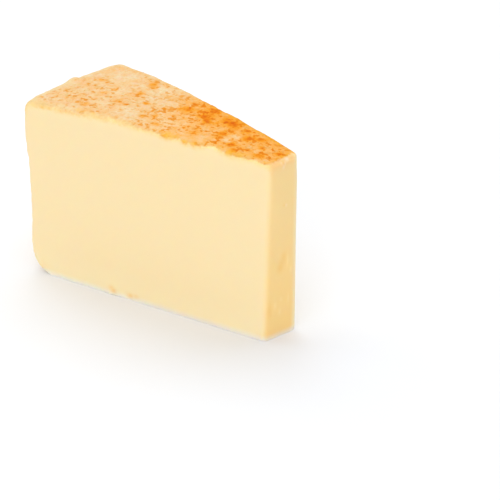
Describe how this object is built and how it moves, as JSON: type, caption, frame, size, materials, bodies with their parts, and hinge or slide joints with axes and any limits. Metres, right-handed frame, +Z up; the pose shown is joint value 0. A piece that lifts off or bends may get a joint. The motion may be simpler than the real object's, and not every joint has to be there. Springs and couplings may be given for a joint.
{
  "type": "cheese wedge",
  "caption": "Wedge cut from a round semi-hard cheese: smooth pale yellow cut faces, a mottled orange rind on top and round the outer side.",
  "frame": {"origin": "middle of the base, on the surface that the wedge stands on", "axes": "+X along the wedge's middle line, from the rinded round side towards the narrow cut end; +Z up"},
  "size_m": [0.1046, 0.0496, 0.0717],
  "materials": {
    "cheese": "matte"
  },
  "bodies": {
    "root": {"cheese_block": "cheese"}
  },
  "joints": []
}
